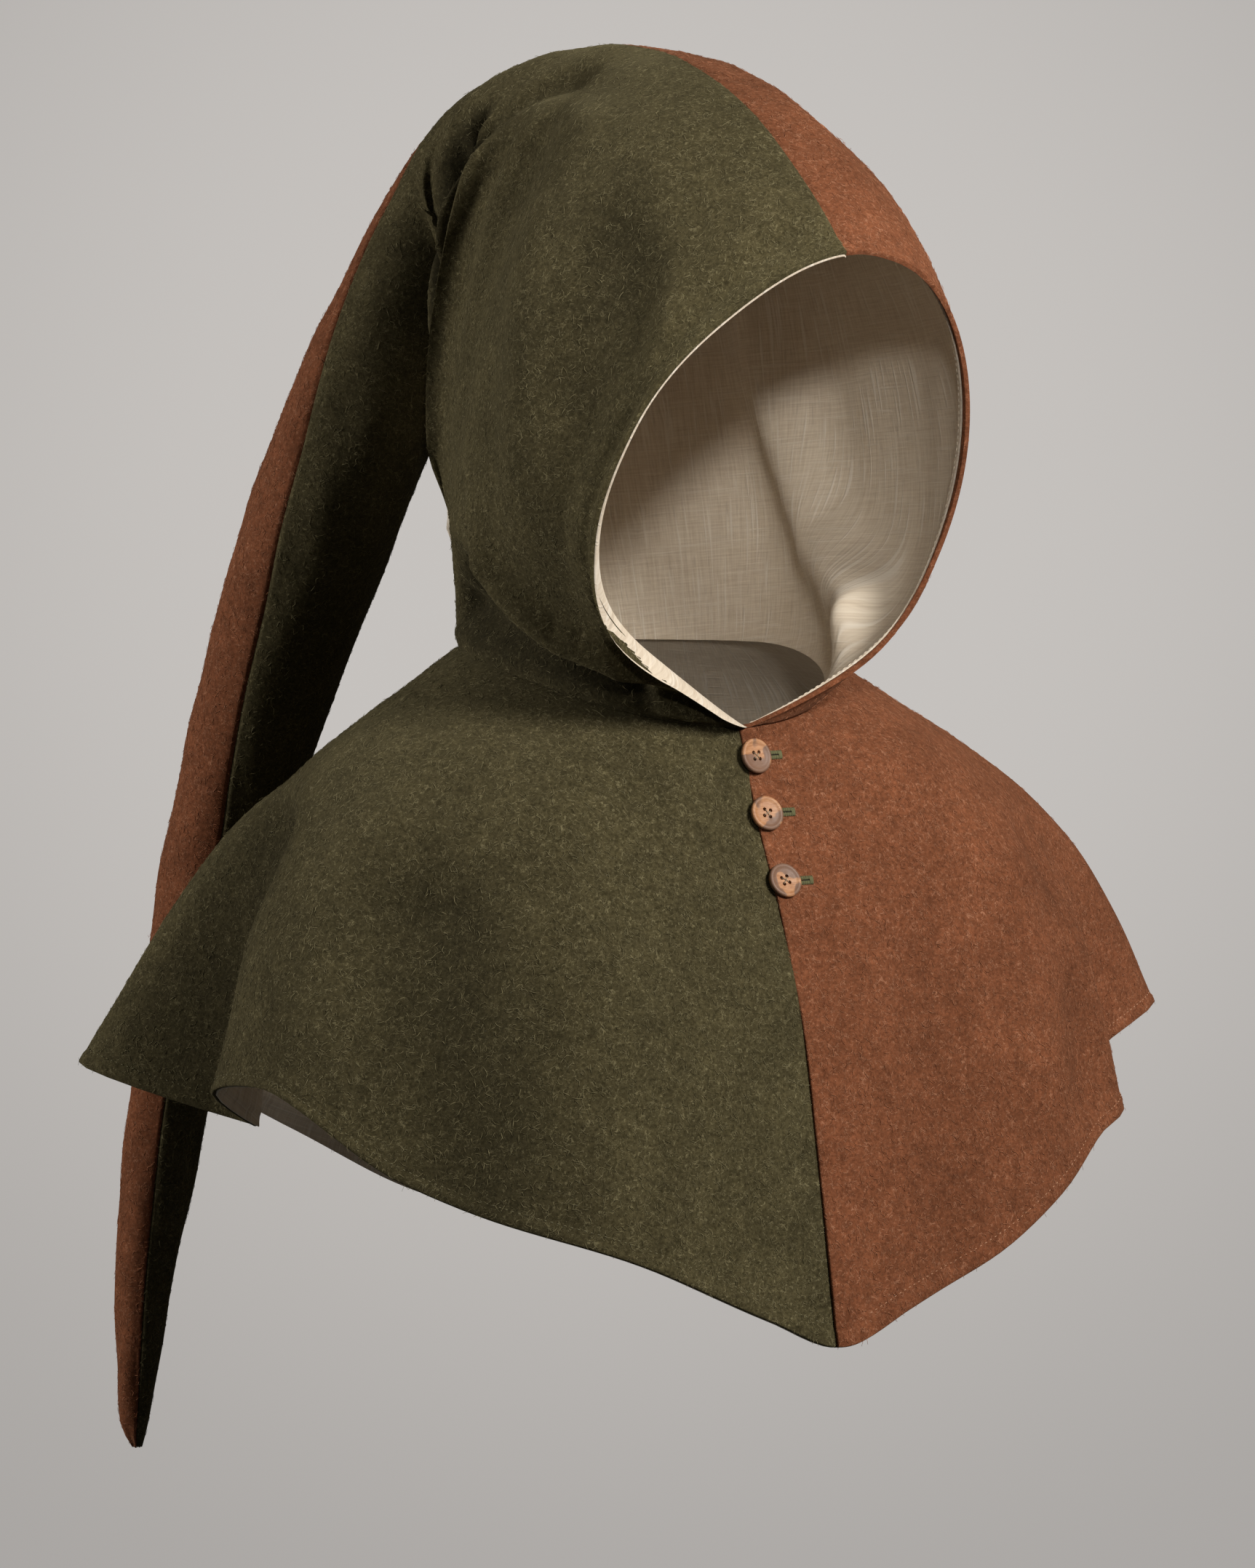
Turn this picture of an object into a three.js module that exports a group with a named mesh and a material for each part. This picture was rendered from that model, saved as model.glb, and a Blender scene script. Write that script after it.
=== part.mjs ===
// A hood with a shoulder cape and a long tail, in the shape it takes when worn.
// Millimetres, +Z up. The wearer faces -Y, so +X is the wearer's left. The origin is the
// middle of the neck at the height of the neckline.
import * as THREE from 'three';

// Driving dimensions.
const WOOL = 2.6;
const LINEN = 1;
const GAP = 0.3;
const NECK_RADIUS = 105;
const NECK_BACK = 50;
const NECK_FRONT_HEIGHT = -2;
const NECK_BACK_HEIGHT = 35;
const NECK_RISE_ANGLE = 110;
const BUTTON_RADIUS = 9.6;
const BUTTON_THICK = 3.4;
const BUTTON_BEVEL = 0.9;
const BUTTON_HOLE_RADIUS = 1.0;
const BUTTON_HOLE_SPACING = 1.9;
const BUTTON_LIFT = 1.2;
const THREAD_BAR = [6.2, 4, 0.9];
const HEAD_STEPS = 18;
const TAIL_STEPS = 18;
const HOOD_ROUND = 13;
const LINING_RISE = 0.02;
const CAPE_STEPS = 27;
const CAPE_DOWN = 8;
const LINING_END = 415;

// Sections of the hood and its tail, from the face edge over the back of the head to the
// tail's tip. angle is the place on the neckline where the section starts, b how far its
// lower seam lies from there, t the upper seam, turn how far the section faces round to the
// front, right and left the bulge to each side, low and high how pointed each side is at its
// lower and upper end.
const HOOD_COLUMNS = [
  'at', 'angle', 'bx', 'by', 'bz', 'tx', 'ty', 'tz', 'turn', 'right', 'left', 'lowR', 'lowL', 'highR', 'highL',
];
const HOOD_ROWS = [
  [0, 0, 0, 0, 0, 0, -156, 252, 0, 117, 105, 2.18, 1.48, 1.4, 0.8],
  [50, 26, 0, 0, 0, 0, -118, 287, 0, 114, 114, 1.98, 1.18, 1.17, 0.77],
  [115, 53, 0, 0, 0, 0, -60, 329, 0, 134, 121, 1.13, 1.1, 1.08, 0.8],
  [180, 85, 0, 0, 0, 0, 5, 357, 0, 122, 122, 0.87, 1.1, 1.1, 0.9],
  [235, 119, 0, 0, 0, 0, 55, 367, 0, 99, 112, 0.75, 1.1, 1.12, 0.95],
  [280, 150, 0, 0, 0, -1, 88, 370, 0, 90, 90, 0.86, 1.1, 1.09, 1],
  [320, 180, 0, 0, 0, -5, 108, 369, 4, 90, 70, 0.92, 1, 1.04, 1],
  [365, 180, 0, 9, 66, -11, 126, 367, 4, 84, 58, 1, 1, 0.99, 1],
  [405, 180, 0, 9, 125, -22, 146, 360, 0, 72, 52, 1.05, 1, 0.95, 1],
  [440, 180, -6, 14, 166, -44, 170, 346, 6, 47, 49, 1, 1, 1, 1],
  [472, 180, -8, 28, 190, -66, 187, 321, 32, 42, 45, 1, 1, 1, 1],
  [508, 180, -11, 43, 193, -85, 193, 287, 66, 39, 40, 1, 1, 1, 1],
  [548, 180, -13, 51, 176, -104, 195, 252, 96, 39, 38, 1, 1, 1, 1],
  [598, 180, -35, 66, 147, -124, 195, 205, 110, 46, 44, 1, 1, 1, 1],
  [650, 180, -59, 79, 112, -139, 196, 153, 116, 50, 48, 1, 1, 1, 1],
  [710, 180, -75, 98, 66, -150, 208, 97, 121, 48, 47, 1, 1, 1, 1],
  [765, 180, -88, 121, 23, -153, 223, 52, 125, 47, 45, 1, 1, 1, 1],
  [820, 180, -102, 140, -26, -158, 240, 2, 129, 43, 41, 1, 1, 1, 1],
  [880, 180, -115, 157, -75, -161, 255, -47, 134, 39, 37, 1, 1, 1, 1],
  [930, 180, -129, 169, -120, -164, 264, -90, 140, 37, 35, 1, 1, 1, 1],
  [1000, 180, -142, 181, -187, -172, 281, -156, 150, 32, 30, 1, 1, 1, 1],
  [1090, 180, -159, 187, -278, -186, 297, -245, 156, 25, 24, 1, 1, 1, 1],
  [1155, 180, -172, 188, -342, -191, 305, -308, 163, 22, 21, 1, 1, 1, 1],
  [1210, 180, -182, 189, -398, -194, 312, -364, 166, 17, 16, 1, 1, 1, 1],
  [1262, 180, -187, 188, -450, -195, 318, -415, 166, 12, 12, 1, 1, 1, 1],
  [1294, 180, -191, 184, -482, -195, 323, -447, 166, 8, 8, 1, 1, 1, 1],
  [1308, 180, -191, 178, -495, -193, 328, -460, 166, 3, 3, 1, 1, 1, 1],
];

// Folds of the hood. Each row names its side (-1 is the wearer's right), how far it pushes the
// cloth out (below zero it sinks in) and how wide it is, and then the places that it runs
// through, each as a station along the hood and a share of the way up.
const HOOD_FOLDS = [
  [-1, -16, 18, 318, 0.72, 302, 0.66, 296, 0.6, 290, 0.54, 280, 0.46],
  [-1, 7, 14, 326, 0.77, 345, 0.715, 354, 0.655, 352, 0.6],
  [-1, -10, 18, 372, 0.74, 388, 0.66, 396, 0.58, 400, 0.45],
  [-1, 5, 16, 246, 0.66, 250, 0.58, 240, 0.48, 230, 0.38, 226, 0.28],
  [-1, -12, 17, 192, 0.105, 170, 0.09],
  [-1, 6, 26, 215, 0.2, 180, 0.2, 160, 0.19],
  [-1, -6, 12, 202, 0.03, 150, 0.05, 122, 0.06, 82, 0.08, 36, 0.115],
  [-1, 6, 18, 150, 0.12, 122, 0.135, 82, 0.16, 45, 0.2],
  [-1, -3, 20, 92, 0.64, 58, 0.61, 34, 0.57],
  [-1, -3.5, 20, 205, 0.6, 194, 0.48, 164, 0.415, 140, 0.33],
  [1, -22, 24, 262, 0.5, 250, 0.4, 238, 0.33, 222, 0.26, 205, 0.2, 180, 0.14, 140, 0.115, 85, 0.125],
  [-1, 7, 34, 0, 0.31, 60, 0.31],
  [1, 4, 34, 0, 0.26, 60, 0.26],
];

// The cape by angle round the neck, from the front towards the wearer's right (above zero)
// or left (below zero): radius and height of the shoulder, the upper arm and the hem.
const CAPE_COLUMNS = ['angle', 'shoulderR', 'shoulderZ', 'armR', 'armZ', 'hemR', 'hemZ'];
const CAPE_ROWS = [
  [-180, 150, -30, 196, -160, 220, -322],
  [-155, 158, -20, 208, -128, 240, -272],
  [-130, 172, -15, 231, -103, 282, -215],
  [-112, 182, -14, 237, -93, 271, -196],
  [-96, 187, -18, 250, -89, 287, -184],
  [-80, 189, -22, 265, -86, 319, -181],
  [-69, 184, -28, 243, -107, 261, -208],
  [-60, 178, -32, 243, -121, 271, -225],
  [-52, 172, -35, 227, -132, 256, -235],
  [-42, 162, -40, 209, -144, 241, -258],
  [-30, 148, -48, 194, -154, 227, -282],
  [-12, 132, -54, 176, -152, 212, -306],
  [0, 127, -56, 171, -152, 209, -321],
  [12, 130, -54, 174, -150, 211, -303],
  [30, 146, -46, 190, -142, 225, -270],
  [60, 174, -30, 226, -127, 254, -226],
  [80, 186, -21, 241, -106, 265, -185],
  [92, 189, -19, 239, -97, 267, -194],
  [105, 186, -22, 219, -90, 233, -224],
  [119, 181, -23, 244, -81, 319, -199],
  [132, 174, -23, 229, -87, 291, -210],
  [150, 160, -24, 209, -114, 244, -259],
  [166, 153, -26, 202, -142, 225, -298],
  [180, 150, -30, 196, -160, 220, -322],
];

// Buttons down the front edge: sideways place and how far down the cape's front they sit.
const BUTTON_ROWS = [
  [2.5, 0.1],
  [2, 0.29],
  [3, 0.44],
];

const clamp = (x, low, high) => Math.min(high, Math.max(low, x));
const smooth = (x) => x * x * (3 - 2 * x);
const radians = (degrees) => (degrees * Math.PI) / 180;

// A smooth curve through the values of one column, which never swings past them.
function spline(rows, column, at) {
  const last = rows.length - 1;
  let k = 0;
  while (k < last - 1 && at > rows[k + 1][0]) k += 1;
  const rise = (i) => (rows[i + 1][column] - rows[i][column]) / (rows[i + 1][0] - rows[i][0]);
  const slope = (i) => {
    if (i === 0) return rise(0);
    if (i === last) return rise(last - 1);
    const before = rise(i - 1);
    const after = rise(i);
    if (before * after <= 0) return 0;
    const middle = (before + after) / 2;
    const limit = 2.6 * Math.min(Math.abs(before), Math.abs(after));
    return Math.sign(middle) * Math.min(Math.abs(middle), limit);
  };
  const span = rows[k + 1][0] - rows[k][0];
  const t = clamp((at - rows[k][0]) / span, 0, 1);
  const h = t * t * (3 - 2 * t);
  const leave = t * (1 - t) * (1 - t);
  const arrive = t * t * (t - 1);
  const bend = span * (slope(k) * leave + slope(k + 1) * arrive);
  return rows[k][column] * (1 - h) + rows[k + 1][column] * h + bend;
}

function tableRow(columns, rows, at) {
  const out = {};
  columns.forEach((name, i) => {
    out[name] = i === 0 ? at : spline(rows, i, at);
  });
  return out;
}

function neckline(angle) {
  const rise = smooth(clamp(Math.abs(angle) / NECK_RISE_ANGLE, 0, 1));
  return { r: NECK_RADIUS, z: NECK_FRONT_HEIGHT + (NECK_BACK_HEIGHT - NECK_FRONT_HEIGHT) * rise };
}

function seams(at) {
  const r = tableRow(HOOD_COLUMNS, HOOD_ROWS, at);
  const turn = radians(clamp(r.angle, 0, 180));
  const from = neckline(clamp(r.angle, 0, 180));
  r.neck = from.r * Math.sin(turn);
  const low = new THREE.Vector3(r.bx, r.by + NECK_BACK - from.r * Math.cos(turn), r.bz + from.z);
  return { r, low, high: new THREE.Vector3(r.tx, r.ty, r.tz) };
}

// Direction from the seam towards the wearer's left.
function sideways(at) {
  const { r, low, high } = seams(at);
  const rise = high.sub(low).normalize();
  const turn = radians(r.turn);
  const left = new THREE.Vector3(Math.cos(turn), Math.sin(turn), 0);
  return left.addScaledVector(rise, -left.dot(rise)).normalize();
}

function hoodBase(side, at, up) {
  const { r, low, high } = seams(at);
  const bulge = side < 0 ? r.right : r.left;
  const lowest = side < 0 ? r.lowR : r.lowL;
  const highest = side < 0 ? r.highR : r.highL;
  const start = Math.asin(Math.pow(clamp(r.neck / bulge, 0, 0.98), 1 / lowest));
  const turn = start + (Math.PI - start) * up;
  const share = (Math.cos(start) - Math.cos(turn)) / (Math.cos(start) + 1);
  const power = lowest + (highest - lowest) * share;
  const out = bulge * Math.pow(Math.max(0, Math.sin(turn)), power);
  return low.lerp(high, share).addScaledVector(sideways(at), side * (out + GAP / 2));
}

function foldPush(folds, side, at, up, height) {
  let push = 0;
  for (const [foldSide, high, wide, ...path] of folds) {
    let nearest = foldSide === side ? Infinity : 1e6;
    for (let k = 0; k + 3 < path.length && foldSide === side; k += 2) {
      const dx = path[k + 2] - path[k];
      const dy = (path[k + 3] - path[k + 1]) * height;
      const x = at - path[k];
      const y = (up - path[k + 1]) * height;
      const t = clamp((x * dx + y * dy) / (dx * dx + dy * dy), 0, 1);
      nearest = Math.min(nearest, Math.hypot(x - dx * t, y - dy * t));
    }
    push += high * Math.exp(-((nearest / wide) ** 2));
  }
  return push * Math.min(1, up * 20, (1 - up) * 8);
}

function normalOf(surface, a, b, da, db) {
  const along = surface(a + da, b).sub(surface(a - da, b));
  const across = surface(a, b + db).sub(surface(a, b - db));
  return along.cross(across).normalize();
}

function hoodSurface(side, at, up) {
  const end = HOOD_ROWS[HOOD_ROWS.length - 1][0];
  const a = clamp(at, 1, end - 1);
  const b = clamp(up, 0.01, 0.99);
  const n = normalOf((p, q) => hoodBase(side, p, q), a, b, 1, 0.01).multiplyScalar(side);
  const point = hoodBase(side, at, up);
  return point.addScaledVector(n, foldPush(HOOD_FOLDS, side, at, up, 330));
}

function capeSurface(angle, down) {
  const r = tableRow(CAPE_COLUMNS, CAPE_ROWS, angle);
  const top = neckline(angle);
  const profile = [
    [0, top.r + 0.3, top.z - 0.9],
    [0.33, r.shoulderR, r.shoulderZ],
    [0.66, r.armR, r.armZ],
    [1, r.hemR, r.hemZ],
  ];
  const radius = spline(profile, 1, down);
  const side = -Math.sign(angle) || 0;
  const x = -radius * Math.sin(radians(angle)) + (side * GAP) / 2;
  return new THREE.Vector3(x, NECK_BACK - radius * Math.cos(radians(angle)), spline(profile, 2, down));
}

// A closed wall of cloth between two offsets of one surface.
function wall(steps, rounds, place, normal, outer, inner) {
  const points = [];
  for (const offset of [outer, inner]) {
    for (let i = 0; i <= steps; i += 1) {
      for (let j = 0; j <= rounds; j += 1) {
        points.push(place(i, j).addScaledVector(normal(i, j), -offset(i)));
      }
    }
  }
  const wide = rounds + 1;
  const sheet = (steps + 1) * wide;
  const faces = [];
  const quad = (a, b, c, d) => faces.push(a, b, c, a, c, d);
  for (let i = 0; i < steps; i += 1) {
    for (let j = 0; j < rounds; j += 1) {
      const k = i * wide + j;
      quad(k, k + wide, k + wide + 1, k + 1);
      quad(sheet + k, sheet + k + 1, sheet + k + wide + 1, sheet + k + wide);
    }
  }
  for (let i = 0; i < steps; i += 1) {
    const a = i * wide;
    const b = a + rounds;
    quad(a, sheet + a, sheet + a + wide, a + wide);
    quad(b, b + wide, sheet + b + wide, sheet + b);
  }
  for (let j = 0; j < rounds; j += 1) {
    const a = j;
    const b = steps * wide + j;
    quad(a, a + 1, sheet + a + 1, sheet + a);
    quad(b, sheet + b, sheet + b + 1, b + 1);
  }
  let volume = 0;
  for (let f = 0; f < faces.length; f += 3) {
    const [p, q, r] = [points[faces[f]], points[faces[f + 1]], points[faces[f + 2]]];
    volume += p.dot(q.clone().cross(r));
  }
  if (volume < 0) {
    for (let f = 0; f < faces.length; f += 3) {
      [faces[f], faces[f + 1]] = [faces[f + 1], faces[f]];
    }
  }
  const geometry = new THREE.BufferGeometry();
  geometry.setAttribute('position', new THREE.Float32BufferAttribute(points.flatMap((p) => p.toArray()), 3));
  geometry.setIndex(faces);
  geometry.computeVertexNormals();
  return geometry;
}

// Places along the hood where the grid lines run: the head first, then the tail.
function hoodStation(i) {
  const total = HOOD_ROWS[HOOD_ROWS.length - 1][0];
  if (i <= HEAD_STEPS) return (LINING_END * i) / HEAD_STEPS;
  return LINING_END + ((total - LINING_END) * (i - HEAD_STEPS)) / TAIL_STEPS;
}

function hoodWall(side, steps, first, outer, inner) {
  const stations = Array.from({ length: steps + 1 }, (_, i) => hoodStation(i));
  const total = HOOD_ROWS[HOOD_ROWS.length - 1][0];
  const rounds = HOOD_ROUND - first;
  const upOf = (j) => (j + first === 0 ? 0 : LINING_RISE + ((1 - LINING_RISE) * (j + first - 1)) / (HOOD_ROUND - 1));
  const place = (i, j) => hoodSurface(side, stations[i], upOf(j));
  const normal = (i, j) => {
    const at = clamp(stations[i], 2, total - 2);
    const up = clamp(upOf(j), 0.012, 0.988);
    const n = normalOf((p, q) => hoodSurface(side, p, q), at, up, 2, 0.012).multiplyScalar(side);
    if (j === rounds || (j + first < 2 && stations[i] > 319)) {
      const s = sideways(stations[i]);
      n.addScaledVector(s, -n.dot(s)).normalize();
    } else if (j + first === 0) n.setZ(0).normalize();
    return n;
  };
  const thin = (i, offset) => {
    const r = tableRow(HOOD_COLUMNS, HOOD_ROWS, stations[i]);
    return Math.min(offset, r.left * 0.5);
  };
  return wall(steps, rounds, place, normal, (i) => thin(i, outer), (i) => thin(i, inner));
}

function capeWall(side, steps, rounds, outer, inner) {
  const angle = (i) => -side * (0.001 + (179.998 * i) / steps);
  const down = (j) => j / rounds;
  const place = (i, j) => capeSurface(angle(i), down(j));
  const normal = (i, j) => {
    const a = clamp(Math.abs(angle(i)), 0.6, 179.4) * -side;
    const b = clamp(down(j), 0.02, 0.98);
    const n = normalOf(capeSurface, a, b, 0.5, 0.02);
    if (i === 0 || i === steps) n.setX(0).normalize();
    return n;
  };
  return wall(steps, rounds, place, normal, () => outer, () => inner);
}

// Where a small thing lies on the cape's front, x to the side of the seam.
function frontFrame(x, down) {
  const radius = NECK_BACK - capeSurface(-0.001, down).y;
  const angle = (-Math.asin(x / radius) * 180) / Math.PI;
  const out = normalOf(capeSurface, angle, down, 0.5, 0.02);
  if (out.y > 0) out.multiplyScalar(-1);
  const upward = new THREE.Vector3(0, 0, 1).addScaledVector(out, -out.z).normalize();
  const across = upward.clone().cross(out);
  return new THREE.Matrix4().makeBasis(across, upward, out).setPosition(capeSurface(angle, down));
}

function buttonGeometry(frame) {
  const flat = BUTTON_RADIUS - BUTTON_BEVEL;
  const shape = new THREE.Shape();
  shape.absarc(0, 0, flat, 0, Math.PI * 2, false);
  for (const [x, y] of [[-1, -1], [1, -1], [1, 1], [-1, 1]]) {
    const hole = new THREE.Path();
    const h = BUTTON_HOLE_SPACING;
    hole.absarc(x * h, y * h, BUTTON_HOLE_RADIUS + BUTTON_BEVEL, 0, Math.PI * 2, true);
    shape.holes.push(hole);
  }
  const geometry = new THREE.ExtrudeGeometry(shape, {
    depth: BUTTON_THICK - 2 * BUTTON_BEVEL,
    bevelThickness: BUTTON_BEVEL,
    bevelSize: BUTTON_BEVEL,
    bevelSegments: 1,
    curveSegments: 8,
  });
  geometry.translate(0, 0, BUTTON_LIFT + BUTTON_BEVEL);
  geometry.applyMatrix4(frame);
  return geometry;
}

function barGeometry(frame) {
  const [w, h, d] = THREAD_BAR;
  const geometry = new THREE.BoxGeometry(w, h, d);
  geometry.translate(0, 0, d / 2 + GAP);
  geometry.applyMatrix4(frame);
  return geometry;
}

const wool = { green: '#3f3c2a', rust: '#7d482a' };
const hood = new THREE.Group();
hood.name = 'medieval_hood';

function add(name, geometry, colour, roughness) {
  const mesh = new THREE.Mesh(geometry, new THREE.MeshStandardMaterial({ color: colour, roughness }));
  mesh.name = name;
  hood.add(mesh);
}

for (const [name, side, colour] of [['right', -1, wool.green], ['left', 1, wool.rust]]) {
  const under = WOOL + GAP;
  add(`hood_${name}`, hoodWall(side, HEAD_STEPS + TAIL_STEPS, 0, 0, WOOL), colour, 0.95);
  add(`cape_${name}`, capeWall(side, CAPE_STEPS, CAPE_DOWN, 0, WOOL), colour, 0.95);
  const lining = hoodWall(side, HEAD_STEPS, 1, under, under + LINEN);
  add(`hood_lining_${name}`, lining, '#b9a88c', 0.9);
  const capeLining = capeWall(side, CAPE_STEPS, CAPE_DOWN, under, under + LINEN);
  add(`cape_lining_${name}`, capeLining, '#a8977c', 0.9);
}
BUTTON_ROWS.forEach(([x, down], i) => {
  const beside = x + BUTTON_RADIUS + THREAD_BAR[0] / 2 + 0.6;
  add(`button_${i + 1}`, buttonGeometry(frontFrame(x, down)), '#a9744f', 0.6);
  add(`buttonhole_${i + 1}`, barGeometry(frontFrame(beside, down)), '#4d4c34', 0.9);
});

export default hood;
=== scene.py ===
"""Looks of the hood: wool, linen, stitches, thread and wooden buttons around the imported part.

Sizes are in millimetres here and turn into metres when a mesh is made. +Z is up, the wearer
faces -Y and +X is the wearer's left, with the origin at the neck, as in the part's source.
"""
import math

import bpy
import numpy as np
from mathutils import Matrix, Vector


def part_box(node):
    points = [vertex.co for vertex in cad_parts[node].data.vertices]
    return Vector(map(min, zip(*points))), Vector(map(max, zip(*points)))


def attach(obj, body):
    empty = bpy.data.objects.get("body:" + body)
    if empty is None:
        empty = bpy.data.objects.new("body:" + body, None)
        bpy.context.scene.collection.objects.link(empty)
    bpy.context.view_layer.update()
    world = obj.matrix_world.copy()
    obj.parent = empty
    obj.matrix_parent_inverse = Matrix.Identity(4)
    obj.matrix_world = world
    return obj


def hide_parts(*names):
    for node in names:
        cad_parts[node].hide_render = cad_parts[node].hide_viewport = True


# Driving sizes, as in the part's source.
WOOL = 2.6
LINEN = 1.0
GAP = 0.3
UNDER = WOOL + GAP
NECK_RADIUS = 105
NECK_BACK = 50
NECK_FRONT_HEIGHT = -2
NECK_BACK_HEIGHT = 35
NECK_RISE_ANGLE = 110
LINING_END = 415

# The cloth's size where a fold's places are given as shares: the hood from its lower to its
# upper seam, the cape from neck to hem, and the cape's cloth for one degree round the neck.
HOOD_HEIGHT = 330
CAPE_LENGTH = 360
CAPE_DEGREE = 3.5

# The curl of the face opening's edge: its rows, its radius, and how far the cloth reaches past
# the opening where it turns out and where it doesn't.
EDGE_ROWS = 10
EDGE_RADIUS = 2.9
EDGE_TURNED = 11
EDGE_PLAIN = 0.9
EDGE_MOST = math.radians(170)

# Painted shade in the folds' hollows and by the neck seam: how much wider it is than its fold,
# from which depth it starts, over how much more depth it grows, how much of the colour it takes
# there, and then its share and its reach by the neck seam.
SHADE_WIDER = 1.35
SHADE_FROM = 2
SHADE_OVER = 12
SHADE_DARK = 0.58
SEAM_SHADE = 0.38
SEAM_SHADE_REACH = 22

# Raised fibres on each piece of wool, their radius at the root, middle and tip, and the sides
# of a fibre and of a thread.
STRANDS = 8800
STRAND_RADII = [0.08, 0.13, 0.07]
STRAND_SIDES = 3
THREAD_SIDES = 6

# Each row of stitches: how far apart they start, how long one is and its thread's radius.
HEM_STITCH = (3.6, 1.7, 0.24)
EDGE_STITCH = (3.6, 2.3, 0.26)

# The head's middle from front to back, and the radii at which the linings' threads are counted
# round the head and round the neck.
HEAD_MIDDLE = 40
HEAD_THREADS = 110
CAPE_THREADS = 190

# Sections of the hood and its tail, as in the part's source. angle is the place on the neckline
# where the section starts, b how far its lower seam lies from there, t the upper seam, turn how
# far the section faces round to the front, right and left the bulge to each side, low and high
# how pointed each side is at its lower and upper end.
HOOD_COLUMNS = ["at", "angle", "bx", "by", "bz", "tx", "ty", "tz", "turn"]
HOOD_COLUMNS += ["right", "left", "lowR", "lowL", "highR", "highL"]
HOOD_ROWS = [
    [0, 0, 0, 0, 0, 0, -156, 252, 0, 117, 105, 2.18, 1.48, 1.4, 0.8],
    [50, 26, 0, 0, 0, 0, -118, 287, 0, 114, 114, 1.98, 1.18, 1.17, 0.77],
    [115, 53, 0, 0, 0, 0, -60, 329, 0, 134, 121, 1.13, 1.1, 1.08, 0.8],
    [180, 85, 0, 0, 0, 0, 5, 357, 0, 122, 122, 0.87, 1.1, 1.1, 0.9],
    [235, 119, 0, 0, 0, 0, 55, 367, 0, 99, 112, 0.75, 1.1, 1.12, 0.95],
    [280, 150, 0, 0, 0, -1, 88, 370, 0, 90, 90, 0.86, 1.1, 1.09, 1],
    [320, 180, 0, 0, 0, -5, 108, 369, 4, 90, 70, 0.92, 1, 1.04, 1],
    [365, 180, 0, 9, 66, -11, 126, 367, 4, 84, 58, 1, 1, 0.99, 1],
    [405, 180, 0, 9, 125, -22, 146, 360, 0, 72, 52, 1.05, 1, 0.95, 1],
    [440, 180, -6, 14, 166, -44, 170, 346, 6, 47, 49, 1, 1, 1, 1],
    [472, 180, -8, 28, 190, -66, 187, 321, 32, 42, 45, 1, 1, 1, 1],
    [508, 180, -11, 43, 193, -85, 193, 287, 66, 39, 40, 1, 1, 1, 1],
    [548, 180, -13, 51, 176, -104, 195, 252, 96, 39, 38, 1, 1, 1, 1],
    [598, 180, -35, 66, 147, -124, 195, 205, 110, 46, 44, 1, 1, 1, 1],
    [650, 180, -59, 79, 112, -139, 196, 153, 116, 50, 48, 1, 1, 1, 1],
    [710, 180, -75, 98, 66, -150, 208, 97, 121, 48, 47, 1, 1, 1, 1],
    [765, 180, -88, 121, 23, -153, 223, 52, 125, 47, 45, 1, 1, 1, 1],
    [820, 180, -102, 140, -26, -158, 240, 2, 129, 43, 41, 1, 1, 1, 1],
    [880, 180, -115, 157, -75, -161, 255, -47, 134, 39, 37, 1, 1, 1, 1],
    [930, 180, -129, 169, -120, -164, 264, -90, 140, 37, 35, 1, 1, 1, 1],
    [1000, 180, -142, 181, -187, -172, 281, -156, 150, 32, 30, 1, 1, 1, 1],
    [1090, 180, -159, 187, -278, -186, 297, -245, 156, 25, 24, 1, 1, 1, 1],
    [1155, 180, -172, 188, -342, -191, 305, -308, 163, 22, 21, 1, 1, 1, 1],
    [1210, 180, -182, 189, -398, -194, 312, -364, 166, 17, 16, 1, 1, 1, 1],
    [1262, 180, -187, 188, -450, -195, 318, -415, 166, 12, 12, 1, 1, 1, 1],
    [1294, 180, -191, 184, -482, -195, 323, -447, 166, 8, 8, 1, 1, 1, 1],
    [1308, 180, -191, 178, -495, -193, 328, -460, 166, 3, 3, 1, 1, 1, 1],
]

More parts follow.
